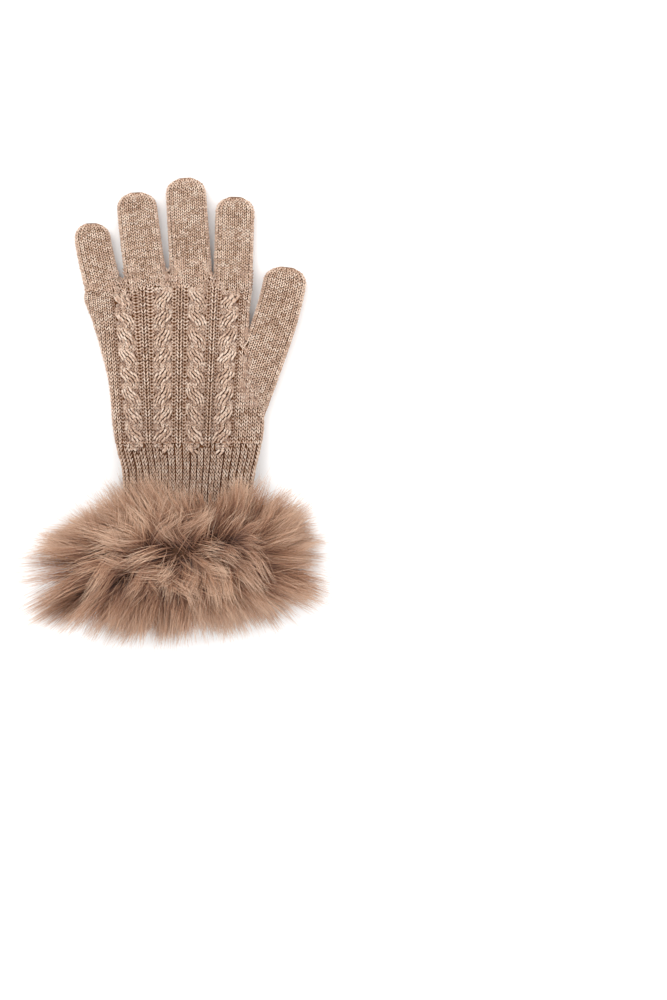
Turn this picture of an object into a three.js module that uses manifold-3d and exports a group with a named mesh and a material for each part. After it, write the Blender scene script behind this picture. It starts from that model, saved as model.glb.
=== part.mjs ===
// A knitted cashmere glove with a deep fur cuff, lying flat with its palm down.
// Millimetres, +Z up. +Y runs from the cuff to the fingertips, and the thumb is on the +X side.
// The origin is on the surface that the glove rests on, under the middle of its outline.
import * as THREE from "three";
import { mergeVertices } from "three/addons/utils/BufferGeometryUtils.js";
import Module from "manifold-3d";

const wasm = await Module();
wasm.setup();

// Knit
const WALL = 1.8;
const GAP = 0.3;
const FOLD_ROUNDNESS = 2.4;
const MIDDLE_SHARE = 0.45;
const FLATTENED = 1.25;

// The glove's hand, between the ribbing and the knuckles. One row for each section of the tube:
// along is its place on Y, left and right are its folds, height is how thick it lies and
// bow is how far the ends of the section drop behind its middle.
const HAND = [
  { along: -21, left: -34.5, right: 53.7, height: 12.8, bow: 0 },
  { along: -12, left: -36.0, right: 54.8, height: 13.2, bow: 0 },
  { along: -3, left: -36.8, right: 54.6, height: 13.6, bow: 0 },
  { along: 6, left: -37.4, right: 53.0, height: 13.8, bow: 0 },
  { along: 18, left: -39.0, right: 50.1, height: 13.8, bow: 0 },
  { along: 30, left: -42.0, right: 47.7, height: 13.6, bow: 0 },
  { along: 42, left: -45.3, right: 46.2, height: 13.2, bow: 0 },
  { along: 54, left: -48.6, right: 45.8, height: 12.6, bow: 1 },
  { along: 66, left: -51.8, right: 46.3, height: 11.8, bow: 4 },
  { along: 76, left: -53.4, right: 47.2, height: 10.6, bow: 8 },
  { along: 82, left: -53.0, right: 47.4, height: 9.0, bow: 10 },
];
const KNUCKLE_SKEW = 2.6; // how much further the index side reaches than the little finger's

// The ribbed wrist, from under the cables to the open end inside the fur.
const WRIST = [
  { along: -99, left: -33.6, right: 45.2, height: 17.0 },
  { along: -88, left: -32.2, right: 46.0, height: 15.6 },
  { along: -74, left: -30.6, right: 46.8, height: 14.4 },
  { along: -60, left: -29.4, right: 47.4, height: 13.4 },
  { along: -48, left: -29.4, right: 48.3, height: 12.8 },
  { along: -40.8, left: -29.7, right: 49.2, height: 12.6 },
  { along: -33.6, left: -31.2, right: 51.0, height: 12.6 },
  { along: -26.4, left: -33.6, right: 52.8, height: 12.7 },
  { along: -21, left: -34.5, right: 53.7, height: 12.8 },
];
const RIBS = 50;
const RIB_HEIGHT = 0.9;

// The fur under the wrist holds it off the surface.
const LIFT = { height: 9, from: -4, to: -58 };

// Each finger is a tube along a curve from its root at the knuckles to the end of its tip.
// bend is the curve's control point. Widths are measured flat.
const FINGERS = [
  { name: "little_finger", root: [-41.8, 72.6], bend: [-49.1, 99.0], tip: [-49.2, 111.4],
    rootWidth: 22.0, tipWidth: 21.4, height: 9.4 },
  { name: "ring_finger", root: [-16.4, 78.6], bend: [-21.6, 115.2], tip: [-22.2, 129.9],
    rootWidth: 25.0, tipWidth: 23.8, height: 10.0 },
  { name: "middle_finger", root: [10.8, 81.4], bend: [8.6, 117.0], tip: [7.2, 138.6],
    rootWidth: 25.2, tipWidth: 23.8, height: 10.2 },
  { name: "index_finger", root: [36.1, 78.0], bend: [36.8, 102.0], tip: [37.6, 127.2],
    rootWidth: 23.4, tipWidth: 23.2, height: 10.0 },
  { name: "thumb", root: [58.4, 43.2], bend: [66.9, 67.8], tip: [68.7, 84.9],
    rootWidth: 26.6, tipWidth: 25.6, height: 11.0 },
];
const TIP_LENGTH = 9.2;
const STUB_LENGTH = { finger: 17, thumb: 60 };
const STUB_TAPER = { width: 0.1, height: 0.4 }; // shares that a finger loses where it runs back into the hand

// The cable panel on the back of the hand. Each cable is two strands that twist round each other, between
// its places across the knuckles and across the wrist. slant 1 rises towards the thumb.
const CABLES = [
  { knuckles: -30.3, wrist: -23.7, slant: -1 },
  { knuckles: -5.7, wrist: -5.7, slant: 1 },
  { knuckles: 15.3, wrist: 13.5, slant: -1 },
  { knuckles: 35.1, wrist: 30.3, slant: 1 },
];
const PANEL = { knuckles: 74, wrist: -5, to: 66, fadesOver: 9, margin: 7.4 };
const CABLE = { halfWidth: 5.1, swing: 2.3, strandHalfWidth: 2.8, crossing: 11.75, firstCrossing: -16.8,
  height: 1.7, rise: 0.8 };
const RIB = { halfWidth: 1.4, height: 1.0 };
const GROOVE_DEPTH = 0.8;

// The fur cuff: a strip sewn round the wrist and the thick of the hair on it. Places are along the wrist
// from the strip's middle, and out from the wrist.
const STRIP_MIDDLE = -86;
const FUR_CORE = [
  { along: -13, out: 0.9 },
  { along: -29, out: 8 },
  { along: -31, out: 17 },
  { along: -20, out: 28 },
  { along: 0, out: 31 },
  { along: 19, out: 26 },
  { along: 29, out: 15 },
  { along: 28, out: 7 },
  { along: 13, out: 0.9 },
];
const FUR_BORE = 1.8;
const FUR_RISE = 0.7; // how high the hair stands on top for each millimetre that it stands out at the side
const FUR_LEFT = 0.28; // how much further it stands out on the little finger's side

// Its locks, in rows round the wrist that lean away from the strip's middle. turn is in steps of the row.
const LOCK_ROWS = [
  { along: -12, count: 13, lean: -68, length: 40, turn: 0.2 },
  { along: -8, count: 11, lean: -38, length: 49, turn: 0.5 },
  { along: 0, count: 10, lean: -3, length: 48, turn: 0 },
  { along: 8, count: 11, lean: 33, length: 49, turn: 0.5 },
  { along: 12, count: 13, lean: 64, length: 37, turn: 0.2 },
];
const LOCK = { radius: 12.6, sides: 4, flatness: 0.85, droop: 0.14, unevenness: 4, lowest: -0.45 };
const LOCK_PROFILE = [
  { share: 0.14, radius: 0.7 },
  { share: 0.58, radius: 1 },
  { share: 1, radius: 0.14 },
];

const KNIT_LOOK = { color: 0xad8f7b, roughness: 0.95, metalness: 0 };
const FUR_LOOK = { color: 0xa17d68, roughness: 0.9, metalness: 0 };

const clamp = THREE.MathUtils.clamp;
const lerp = THREE.MathUtils.lerp;

// A smooth function of place along the glove through the rows of a table.
function tableCurve(rows, columns) {
  const sorted = [...rows].sort((a, b) => a.along - b.along);
  const places = sorted.map((row) => row.along);
  const values = sorted.flatMap((row) => columns.map((column) => row[column]));
  const curve = new THREE.CubicInterpolant(places, values, columns.length);
  return (along) => {
    const found = curve.evaluate(clamp(along, places[0], places.at(-1)));
    return Object.fromEntries(columns.map((column, i) => [column, found[i]]));
  };
}
const handAt = tableCurve(HAND, ["left", "right", "height", "bow"]);
const wristAt = tableCurve(WRIST, ["left", "right", "height"]);

function liftAt(along) {
  return LIFT.height * THREE.MathUtils.smoothstep(-along, -LIFT.from, -LIFT.to);
}

// Height of a section's edge over its middle, from 0 at a fold to 1 at the centre.
function crown(share) {
  return (1 - Math.abs(share) ** FOLD_ROUNDNESS) ** (1 / FOLD_ROUNDNESS);
}
const topOf = (share, height) => height * lerp(MIDDLE_SHARE, 1, crown(share));
const undersideOf = (share, height) => Math.max(0, height * MIDDLE_SHARE * (1 - FLATTENED * crown(share)));

// Stops from one fold of a section to the other, closer together at the folds, as shares of half its width.
function foldToFold(count) {
  return Array.from({ length: count + 1 }, (_, i) => -Math.cos((Math.PI * i) / count));
}

// One closed ring of points round a flattened tube. It runs over the top from -across to +across and back below.
function sectionRing({ centre, heading, halfWidth, height, lift, bow = 0, skew = 0 }, stops, relief = () => 0) {
  const place = (share, up) => {
    const across = share * halfWidth;
    const back = skew * share - bow * share * share;
    return new THREE.Vector3(
      centre.x + across * heading.y + back * heading.x,
      centre.y - across * heading.x + back * heading.y,
      lift + up,
    );
  };
  const over = stops.top.map((share) => {
    const point = place(share, topOf(share, height));
    point.z += relief(point.x, point.y) * crown(share);
    return point;
  });
  const under = stops.bottom.slice(1, -1).map((share) => place(-share, undersideOf(share, height)));
  return [...over, ...under];
}

// A closed solid through rings that all have the same number of points. A loop joins the last ring to the first.
function loftGeometry(rings, { loop = false } = {}) {
  const count = rings[0].length;
  const points = rings.flat();
  const triangles = [];
  const at = (ring, i) => (ring % rings.length) * count + (i % count);
  const steps = loop ? rings.length : rings.length - 1;
  for (let k = 0; k < steps; k += 1) {
    for (let i = 0; i < count; i += 1) {
      triangles.push(at(k, i), at(k, i + 1), at(k + 1, i));
      triangles.push(at(k, i + 1), at(k + 1, i + 1), at(k + 1, i));
    }
  }
  const addCap = (ring, facesForward) => {
    const middle = rings[ring].reduce((sum, p) => sum.add(p), new THREE.Vector3()).divideScalar(count);
    points.push(middle);
    for (let i = 0; i < count; i += 1) {
      const edge = facesForward ? [at(ring, i), at(ring, i + 1)] : [at(ring, i + 1), at(ring, i)];
      triangles.push(points.length - 1, ...edge);
    }
  };
  if (!loop) {
    addCap(0, false);
    addCap(rings.length - 1, true);
  }
  const geometry = new THREE.BufferGeometry().setFromPoints(points);
  geometry.setIndex(triangles);
  return geometry;
}

function solidOf(geometry) {
  const bare = geometry.clone();
  bare.deleteAttribute("normal");
  bare.deleteAttribute("uv");
  const merged = mergeVertices(bare);
  return new wasm.Manifold(new wasm.Mesh({
    numProp: 3,
    vertProperties: merged.attributes.position.array,
    triVerts: new Uint32Array(merged.index.array),
  }));
}

function geometryOf(solid) {
  const mesh = solid.getMesh();
  const geometry = new THREE.BufferGeometry();
  geometry.setAttribute("position", new THREE.BufferAttribute(mesh.vertProperties, 3));
  geometry.setIndex(new THREE.BufferAttribute(mesh.triVerts, 1));
  const faceted = geometry.toNonIndexed();
  faceted.computeVertexNormals();
  return faceted;
}

const joined = (solids) => solids.reduce((sum, solid) => sum.add(solid));
const cutBy = (solid, cutters) => cutters.reduce((left, cutter) => left.subtract(cutter), solid);
const loftSolid = (rings, options) => solidOf(loftGeometry(rings, options));

// Places from start to end, no further than step apart.
function placesBetween(start, end, step) {
  const count = Math.ceil(Math.abs(end - start) / step);
  return Array.from({ length: count + 1 }, (_, i) => lerp(start, end, i / count));
}

// The cable panel, as heights over the ground between its cables.
function cableCentre(index, along) {
  return lerp(CABLES[index].wrist, CABLES[index].knuckles, (along - PANEL.wrist) / (PANEL.knuckles - PANEL.wrist));
}
const ribCentre = (index, along) => (cableCentre(index, along) + cableCentre(index + 1, along)) / 2;

function strandHump(offset, halfWidth) {
  return Math.abs(offset) < halfWidth ? Math.cos((offset / halfWidth) * (Math.PI / 2)) : 0;
}

function cableHeight(index, offset, along) {
  const crossings = (along - CABLE.firstCrossing) / CABLE.crossing;
  const strands = [0.5, 1.5].map((start) => {
    const turn = Math.PI * (start - CABLES[index].slant * crossings);
    const crest = CABLE.height + CABLE.rise * Math.sin(turn);
    return crest * strandHump(offset - CABLE.swing * Math.cos(turn), CABLE.strandHalfWidth);
  });
  return Math.max(...strands);
}

function panelRelief(x, along) {
  const cables = CABLES.map((_, i) => cableHeight(i, x - cableCentre(i, along), along));
  const ribs = CABLES.slice(1).map((_, i) => RIB.height * strandHump(x - ribCentre(i, along), RIB.halfWidth));
  const outside = Math.max(cableCentre(0, along) - x, x - cableCentre(CABLES.length - 1, along));
  const plain = GROOVE_DEPTH * THREE.MathUtils.smoothstep(outside, PANEL.margin - 1, PANEL.margin + 1);
  const fade = THREE.MathUtils.smoothstep(PANEL.to + PANEL.fadesOver - along, 0, PANEL.fadesOver);
  return fade * (Math.max(plain, ...cables, ...ribs) - GROOVE_DEPTH);
}

// Stops across the back of the hand: some round each fold, and the edges, crests and grooves of the panel between.
function panelStops(along, section) {
  const toShare = (x) => (x - section.centre.x) / section.halfWidth;
  const cableOffsets = [-1, -0.42, 0.42, 1].map((share) => share * CABLE.halfWidth);
  const panel = CABLES.flatMap((_, i) => [
    ...cableOffsets.map((offset) => cableCentre(i, along) + offset),
    ...(i + 1 < CABLES.length ? [-RIB.halfWidth, 0, RIB.halfWidth] : []).map((offset) => ribCentre(i, along) + offset),
  ]);
  const inner = panel.map((x) => clamp(toShare(x), -0.97, 0.97));
  const toFold = (edge, fold, count) =>
    Array.from({ length: count }, (_, i) => lerp(fold, edge, (i / count) ** 2));
  const left = toFold(inner[0], -1, 3);
  const right = toFold(inner.at(-1), 1, 5).reverse();
  return [...left, ...inner, ...right];
}

// The hand's tube at one place, shrunk by inset for its inner face.
function handSection(along, inset = 0) {
  const row = handAt(along);
  return {
    centre: new THREE.Vector2((row.left + row.right) / 2, along),
    heading: new THREE.Vector2(0, 1),
    halfWidth: (row.right - row.left) / 2 - inset,
    height: row.height - 2 * inset,
    lift: liftAt(along) + inset,
    bow: row.bow,
    skew: KNUCKLE_SKEW * THREE.MathUtils.smoothstep(along, 50, 80),
  };
}

function wristSection(along, inset = 0) {
  const row = wristAt(along);
  return {
    centre: new THREE.Vector2((row.left + row.right) / 2, along),
    heading: new THREE.Vector2(0, 1),
    halfWidth: (row.right - row.left) / 2 - inset,
    height: row.height - 2 * inset,
    lift: liftAt(along) + inset,
  };
}

function pathOf(finger) {
  const [root, bend, tip] = [finger.root, finger.bend, finger.tip].map((p) => new THREE.Vector2(...p));
  return new THREE.QuadraticBezierCurve(root, bend, tip);
}

const stubLength = (finger) => (finger.name === "thumb" ? STUB_LENGTH.thumb : STUB_LENGTH.finger);

// A finger's tube at a distance from its root. Distances under 0 run straight back into the hand.
function fingerSection(finger, distance, inset = 0) {
  const path = pathOf(finger);
  const length = path.getLength();
  const share = clamp(distance / length, 0, 1);
  const inHand = clamp(-distance / stubLength(finger), 0, 1) ** 2;
  const heading = path.getTangentAt(share);
  const centre = path.getPointAt(share).addScaledVector(heading, Math.min(distance, 0));
  const toEnd = length - inset - distance;
  const tipShare = clamp(1 - toEnd / (TIP_LENGTH - inset), 0, 1);
  const round = Math.sqrt(1 - tipShare ** 2);
  const fullHeight = finger.height - 2 * inset;
  const height = fullHeight * round * (1 - STUB_TAPER.height * inHand);
  const halfWidth = lerp(finger.rootWidth, finger.tipWidth, share) / 2 - inset;
  return {
    centre,
    heading,
    halfWidth: halfWidth * round * (1 - STUB_TAPER.width * inHand),
    height,
    lift: liftAt(centre.y) + inset + (fullHeight - height) * MIDDLE_SHARE,
  };
}

const FINGER_STOPS = { top: foldToFold(8), bottom: foldToFold(4) };
const FINGER_INNER_STOPS = { top: foldToFold(6), bottom: foldToFold(4) };
const TIP_ANGLES = [26, 50, 72];

function fingerRings(finger, start, end, stops, inset = 0, step = 6.5) {
  const length = pathOf(finger).getLength();
  const tipStart = length - TIP_LENGTH;
  const straight = placesBetween(start, Math.min(end, tipStart), step);
  const tip = end > tipStart
    ? TIP_ANGLES.map((angle) => tipStart + (TIP_LENGTH - inset) * Math.sin(THREE.MathUtils.degToRad(angle)))
    : [];
  return [...straight, ...tip].map((distance) => sectionRing(fingerSection(finger, distance, inset), stops));
}

function makeFinger(finger) {
  const length = pathOf(finger).getLength();
  const outside = loftSolid(fingerRings(finger, 0, length, FINGER_STOPS));
  const inside = loftSolid(fingerRings(finger, -3, length, FINGER_INNER_STOPS, WALL, 9));
  return outside.subtract(inside);
}

// A block that clears the hand away where a finger starts.
function rootClearance(finger) {
  const { centre, heading } = fingerSection(finger, -GAP);
  const size = { width: finger.rootWidth + 2 * GAP, length: 20, height: 60 };
  const block = new THREE.BoxGeometry(size.width, size.length, size.height);
  block.translate(0, size.length / 2, 0);
  block.rotateZ(heading.angle() - Math.PI / 2);
  return solidOf(block.translate(centre.x, centre.y, 0));
}

function makeHand() {
  const ends = { wrist: HAND[0].along + GAP / 2, knuckles: HAND.at(-1).along };
  const bottom = foldToFold(6);
  const outside = loftSolid(placesBetween(ends.wrist, ends.knuckles, CABLE.crossing / 3).map((along) => {
    const section = handSection(along);
    return sectionRing(section, { top: panelStops(along, section), bottom }, panelRelief);
  }));
  const innerStops = { top: foldToFold(8), bottom: foldToFold(4) };
  const inside = loftSolid(placesBetween(ends.wrist - 4, ends.knuckles - WALL, 14).map((along) =>
    sectionRing(handSection(along, WALL), innerStops)));
  const stubs = FINGERS.map((finger) =>
    loftSolid(fingerRings(finger, -stubLength(finger), -GAP, FINGER_STOPS, 0, 12)));
  const bores = FINGERS.map((finger) =>
    loftSolid(fingerRings(finger, -stubLength(finger) - 2, 3, FINGER_INNER_STOPS, WALL, 12)));
  return cutBy(joined([outside, ...stubs]), [inside, ...bores, ...FINGERS.map(rootClearance)]);
}

// Every second stop round the wrist is the crest of a rib. Ribs are as wide at the folds as in the middle.
function makeWrist() {
  const ends = { mouth: WRIST[0].along, hand: HAND[0].along - GAP / 2 };
  const even = Array.from({ length: RIBS + 1 }, (_, i) => -Math.cos((Math.PI * i) / RIBS) * 0.25 + (1.5 * i) / RIBS - 0.75);
  const ribbed = placesBetween(ends.mouth, ends.hand, 16).map((along) => {
    const crest = sectionRing(wristSection(along), { top: even, bottom: even });
    const valley = sectionRing(wristSection(along, RIB_HEIGHT), { top: even, bottom: even });
    return crest.map((point, i) => (i % 2 ? point : valley[i]));
  });
  const innerStops = { top: foldToFold(10), bottom: foldToFold(10) };
  const inside = placesBetween(ends.mouth - 4, ends.hand + 4, 20).map((along) =>
    sectionRing(wristSection(along, WALL), innerStops));
  return loftSolid(ribbed).subtract(loftSolid(inside));
}

// A section of the fur some way out from the wrist, flattened where it meets the surface.
function furRing(along, out, stops) {
  const wrist = wristSection(STRIP_MIDDLE + along);
  const extraLeft = Math.max(0, out - FUR_BORE) * FUR_LEFT;
  const section = {
    ...wrist,
    centre: new THREE.Vector2(wrist.centre.x - extraLeft / 2, STRIP_MIDDLE + along),
    halfWidth: wrist.halfWidth + out + extraLeft / 2,
    height: wrist.height + out * (1 + FUR_RISE),
    lift: wrist.lift - out,
  };
  const ring = sectionRing(section, stops);
  ring.forEach((point) => { point.z = Math.max(point.z, 0); });
  return ring;
}

// A steady wave that tells one lock from the next.
const uneven = (index, row) => Math.sin(index * 2.4 + row * 1.7);

// The line that a lock follows: out from the wrist, leaning along it, and down under its own weight.
function lockPath(row, rowIndex, index) {
  const angle = (2 * Math.PI * (index + row.turn)) / row.count;
  const wrist = wristSection(STRIP_MIDDLE + row.along);
  const root = new THREE.Vector3(
    wrist.centre.x + wrist.halfWidth * Math.cos(angle),
    STRIP_MIDDLE + row.along,
    wrist.lift + (wrist.height / 2) * (1 + Math.sin(angle)),
  );
  const lean = THREE.MathUtils.degToRad(row.lean + LOCK.unevenness * uneven(index, rowIndex));
  const direction = new THREE.Vector3(
    Math.cos(angle) * Math.cos(lean),
    Math.sin(lean),
    Math.sin(angle) * Math.cos(lean) * FUR_RISE,
  );
  const length = row.length * (1 + FUR_LEFT * Math.max(0, -direction.x))
    + LOCK.unevenness * uneven(index + 3, rowIndex);
  const at = (share) => {
    const point = root.clone().addScaledVector(direction, length * share);
    point.z -= LOCK.droop * length * share ** 2;
    return point;
  };
  return { at, rise: direction.z };
}

// One lock of hair: a tapered horn along its path.
function lockSolid({ at }) {
  const rings = LOCK_PROFILE.map(({ share, radius }) => {
    const ahead = at(share + 0.05).sub(at(share - 0.05)).normalize();
    const aside = new THREE.Vector3(ahead.y, -ahead.x, 0).normalize();
    const above = new THREE.Vector3().crossVectors(aside, ahead);
    return Array.from({ length: LOCK.sides }, (_, i) => {
      const angle = (2 * Math.PI * i) / LOCK.sides;
      return at(share)
        .addScaledVector(aside, LOCK.radius * radius * Math.cos(angle))
        .addScaledVector(above, -LOCK.radius * LOCK.flatness * radius * Math.sin(angle));
    });
  });
  return loftSolid(rings);
}

function makeFurCuff() {
  const stops = { top: foldToFold(10), bottom: foldToFold(10) };
  const core = loftSolid(FUR_CORE.map(({ along, out }) => furRing(along, out, stops)), { loop: true });
  const locks = LOCK_ROWS.flatMap((row, rowIndex) =>
    Array.from({ length: row.count }, (_, index) => lockPath(row, rowIndex, index)))
    .filter((path) => path.rise > LOCK.lowest)
    .map(lockSolid);
  const bore = loftSolid([-60, -13, 0, 13, 26, 38, 50, 60].map((along) => furRing(along, FUR_BORE, stops)));
  const above = solidOf(new THREE.BoxGeometry(400, 400, 200).translate(0, STRIP_MIDDLE, 100));
  return joined([core, ...locks]).subtract(bore).intersect(above);
}

function pieceOf(name, solid, look) {
  const piece = new THREE.Mesh(geometryOf(solid), new THREE.MeshStandardMaterial(look));
  piece.name = name;
  return piece;
}

const glove = new THREE.Group();
glove.name = "glove";
glove.add(pieceOf("hand", makeHand(), KNIT_LOOK));
FINGERS.forEach((finger) => glove.add(pieceOf(finger.name, makeFinger(finger), KNIT_LOOK)));
glove.add(pieceOf("ribbed_wrist", makeWrist(), KNIT_LOOK));
glove.add(pieceOf("fur_cuff", makeFurCuff(), FUR_LOOK));

// The middle of the outline goes to the origin.
const middle = new THREE.Box3().setFromObject(glove).getCenter(new THREE.Vector3());
glove.children.forEach((piece) => piece.geometry.translate(-middle.x, -middle.y, 0));

export default glove;
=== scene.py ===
import math

import bpy
import numpy as np
from mathutils import Matrix, Vector, noise
from mathutils.bvhtree import BVHTree
from mathutils.kdtree import KDTree


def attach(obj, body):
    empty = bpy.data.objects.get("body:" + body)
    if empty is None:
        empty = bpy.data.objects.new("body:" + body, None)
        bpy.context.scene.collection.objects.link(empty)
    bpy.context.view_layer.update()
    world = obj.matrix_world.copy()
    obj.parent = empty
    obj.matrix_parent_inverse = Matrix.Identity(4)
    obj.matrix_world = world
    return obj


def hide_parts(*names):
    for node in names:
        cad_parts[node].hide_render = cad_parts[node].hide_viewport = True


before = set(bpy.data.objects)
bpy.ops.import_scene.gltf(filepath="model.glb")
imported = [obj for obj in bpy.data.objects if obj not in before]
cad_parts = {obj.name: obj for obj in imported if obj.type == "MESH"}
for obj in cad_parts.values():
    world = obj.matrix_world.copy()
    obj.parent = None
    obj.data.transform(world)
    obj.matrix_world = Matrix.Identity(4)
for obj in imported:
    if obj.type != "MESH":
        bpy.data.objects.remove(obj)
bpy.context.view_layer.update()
mm = 0.001

# The camera looks straight down, as in the photo, with the glove where it lies in the photo's frame.
camera = {
    "imageSize": (667, 1000), "mmPerPixel": 0.6, "height": 2.0, "focus": 0.010,
    "gloveMiddlePixel": (171.9, 409.3),  # where the frame's origin falls in the photo
}
cameraData = bpy.data.cameras.new("camera")
frameHeight = camera["imageSize"][1] * camera["mmPerPixel"]
cameraData.lens = cameraData.sensor_width * camera["height"] * 1000 / frameHeight
cameraData.clip_end = 10
cameraObject = bpy.data.objects.new("camera", cameraData)
bpy.context.collection.objects.link(cameraObject)
cameraObject.location = (
    (camera["imageSize"][0] / 2 - camera["gloveMiddlePixel"][0]) * camera["mmPerPixel"] * mm,
    (camera["gloveMiddlePixel"][1] - camera["imageSize"][1] / 2) * camera["mmPerPixel"] * mm,
    camera["height"] + camera["focus"],
)
bpy.context.scene.camera = cameraObject
bpy.context.scene.view_settings.view_transform = "Standard"  # a product photo on white, with no film curve
print("camera placed")


# Node trees, objects, colours and numbers

# Adds a node, with its inputs set or linked by name or number, and with its settings.
def addNode(tree, kind, inputs=None, **settings):
    node = tree.nodes.new(kind)
    for name, value in settings.items():
        setattr(node, name, value)
    for name, value in (inputs or {}).items():
        if isinstance(value, bpy.types.NodeSocket):
            tree.links.new(value, node.inputs[name])
        else:
            node.inputs[name].default_value = value
    return node


# The same, for the output that carries the node's result.
def result(tree, kind, inputs=None, output=0, **settings):
    return addNode(tree, kind, inputs, **settings).outputs[output]


def calculated(tree, operation, *values):
    return result(tree, "ShaderNodeMath", dict(enumerate(values)), operation=operation)


# What lies a share of the way from one colour or place to another
mixSockets = {"RGBA": (6, 7, 2), "VECTOR": (4, 5, 1)}


def mixed(tree, share, first, second, kind="RGBA", blend="MIX"):
    a, b, output = mixSockets[kind]
    return result(tree, "ShaderNodeMix", {0: share, a: first, b: second}, output, data_type=kind, blend_type=blend)


def mapped(tree, value, *limits):
    names = ("From Min", "From Max", "To Min", "To Max")
    return result(tree, "ShaderNodeMapRange", {"Value": value, **dict(zip(names, limits))})


def newObject(name, data):
    made = bpy.data.objects.new(name, data)
    bpy.context.collection.objects.link(made)
    return made


def linearColour(hexColour):
    parts = [int(hexColour[i:i + 2], 16) / 255 for i in (1, 3, 5)]
    return [p / 12.92 if p <= 0.04045 else ((p + 0.055) / 1.055) ** 2.4 for p in parts] + [1.0]


def smoothStep(value, low, high):
    share = np.clip((value - low) / (high - low), 0, 1)
    return share * share * (3 - 2 * share)


# A smooth curve through one column of a table, by the place along the glove.
def columnCurve(table, column):
    places = np.array(table["along"], float)
    values = np.array(table[column], float)
    slopes = np.gradient(values, places)

    def at(along):
        along = np.clip(along, places[0], places[-1])
        i = np.clip(np.searchsorted(places, along) - 1, 0, len(places) - 2)
        step = places[i + 1] - places[i]
        t = (along - places[i]) / step
        return (
            (1 + 2 * t) * (1 - t) ** 2 * values[i] + t * (1 - t) ** 2 * step * slopes[i]
            + t * t * (3 - 2 * t) * values[i + 1] + t * t * (t - 1) * step * slopes[i + 1]
        )
    return at


# The glove's form, in millimetres and in the order from the cuff to the knuckles, as the frame's solids have it
gloveMiddle = np.array([-0.374, -1.045, 0.0])
knit = {"roundness": 2.4, "middleShare": 0.45, "flattened": 1.25}
handShape = {
    "along": [-21, -12, -3, 6, 18, 30, 42, 54, 66, 76, 82],
    "left": [-34.5, -36.0, -36.8, -37.4, -39.0, -42.0, -45.3, -48.6, -51.8, -53.4, -53.0],
    "right": [53.7, 54.8, 54.6, 53.0, 50.1, 47.7, 46.2, 45.8, 46.3, 47.2, 47.4],
    "height": [12.8, 13.2, 13.6, 13.8, 13.8, 13.6, 13.2, 12.6, 11.8, 10.6, 9.0],
    "bow": [0, 0, 0, 0, 0, 0, 0, 1, 4, 8, 10],
}
wristShape = {
    "along": [-99, -88, -74, -60, -48, -40.8, -33.6, -26.4, -21],
    "left": [-33.6, -32.2, -30.6, -29.4, -29.4, -29.7, -31.2, -33.6, -34.5],
    "right": [45.2, 46.0, 46.8, 47.4, 48.3, 49.2, 51.0, 52.8, 53.7],
    "height": [17.0, 15.6, 14.4, 13.4, 12.8, 12.6, 12.6, 12.7, 12.8],
}
wristLift = {"height": 9, "start": 4, "end": 58}
knuckleSkew = {"amount": 2.6, "start": 50, "end": 80}
fingerColumns = ("root", "bend", "tip", "rootWidth", "tipWidth", "height", "back")
fingers = {
    "little_finger": ((-41.8, 72.6), (-49.1, 99.0), (-49.2, 111.4), 22.0, 21.4, 9.4, 17),
    "ring_finger": ((-16.4, 78.6), (-21.6, 115.2), (-22.2, 129.9), 25.0, 23.8, 10.0, 17),
    "middle_finger": ((10.8, 81.4), (8.6, 117.0), (7.2, 138.6), 25.2, 23.8, 10.2, 17),
    "index_finger": ((36.1, 78.0), (36.8, 102.0), (37.6, 127.2), 23.4, 23.2, 10.0, 17),
    "thumb": ((58.4, 43.2), (66.9, 67.8), (68.7, 84.9), 26.6, 25.6, 11.0, 60),
}
fingers = {name: dict(zip(fingerColumns, row)) for name, row in fingers.items()}
fingerTip = {"length": 9.2, "backWidth": 0.1, "backHeight": 0.4, "lastTurn": 84, "fullness": 0.75}

handColumns = {name: columnCurve(handShape, name) for name in ("left", "right", "height", "bow")}
wristColumns = {name: columnCurve(wristShape, name) for name in ("left", "right", "height")}


def liftAt(along):
    return wristLift["height"] * smoothStep(-along, wristLift["start"], wristLift["end"])


def crown(share):
    power = knit["roundness"]
    return np.maximum(1 - np.abs(share) ** power, 0) ** (1 / power)


# One section of a flattened tube. It gives points by their share of its half width and the side that they lie on.
def sectionPoints(section, share, onTop, grow=0.0):
    height = section["height"] + 2 * grow
    top = height * (knit["middleShare"] + (1 - knit["middleShare"]) * crown(share))
    under = np.maximum(0, height * knit["middleShare"] * (1 - knit["flattened"] * crown(share)))
    across = share * (section["halfWidth"] + grow)
    back = section["skew"] * share - section["bow"] * share * share
    x = section["centre"][0] + across * section["heading"][1] + back * section["heading"][0]
    y = section["centre"][1] - across * section["heading"][0] + back * section["heading"][1]
    return np.stack([x, y, section["lift"] - grow + np.where(onTop, top, under)], -1)


# A section of the hand or the wrist, from the curves through its table
def tubeSection(columns, along, bow=0.0, skew=0.0):
    left, right, height = (float(columns[name](along)) for name in ("left", "right", "height"))
    return {
        "centre": np.array([(left + right) / 2, along]), "heading": (0.0, 1.0), "halfWidth": (right - left) / 2,
        "height": height, "lift": float(liftAt(along)), "bow": bow, "skew": skew,
    }


def handSection(along):
    skew = knuckleSkew["amount"] * float(smoothStep(along, knuckleSkew["start"], knuckleSkew["end"]))
    return tubeSection(handColumns, along, float(handColumns["bow"](along)), skew)


def wristSection(along):
    return tubeSection(wristColumns, along)


# A finger's line by distance from its root. Distances under 0 run straight back into the hand.
def fingerLine(finger):
    root, bend, tip = (np.array(finger[name], float) for name in ("root", "bend", "tip"))
    t = np.linspace(0, 1, 201)[:, None]
    line = (1 - t) ** 2 * root + 2 * t * (1 - t) * bend + t * t * tip
    steps = np.linalg.norm(np.diff(line, axis=0), axis=1)
    distances = np.concatenate([[0], np.cumsum(steps)])
    slopes = np.gradient(line, distances, axis=0)
    return line, distances, slopes


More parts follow.
